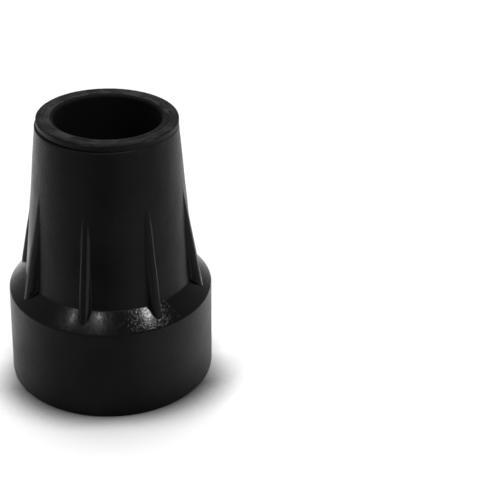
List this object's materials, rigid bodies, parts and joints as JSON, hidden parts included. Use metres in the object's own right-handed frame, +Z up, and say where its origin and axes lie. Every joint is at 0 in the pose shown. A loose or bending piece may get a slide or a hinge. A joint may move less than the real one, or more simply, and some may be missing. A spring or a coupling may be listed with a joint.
{
  "type": "rubber cane tip",
  "caption": "Black moulded rubber tip for a walking cane: a ribbed tapering tube with a shaft socket, a sloping shoulder and a wide foot with a ringed sole.",
  "frame": {"origin": "on the cane's axis, at the ground under the foot", "axes": "+Z up along the cane's axis, out of the socket's mouth; a rib's crest lies on each of +X, -X, +Y and -Y, and -Y faces the viewer"},
  "size_m": [0.0386, 0.0386, 0.0513],
  "materials": {
    "black_rubber": "moulded, satin on the tube and skirt, matt on the sole"
  },
  "bodies": {
    "root": {"cane_tip": "black_rubber"}
  },
  "joints": []
}
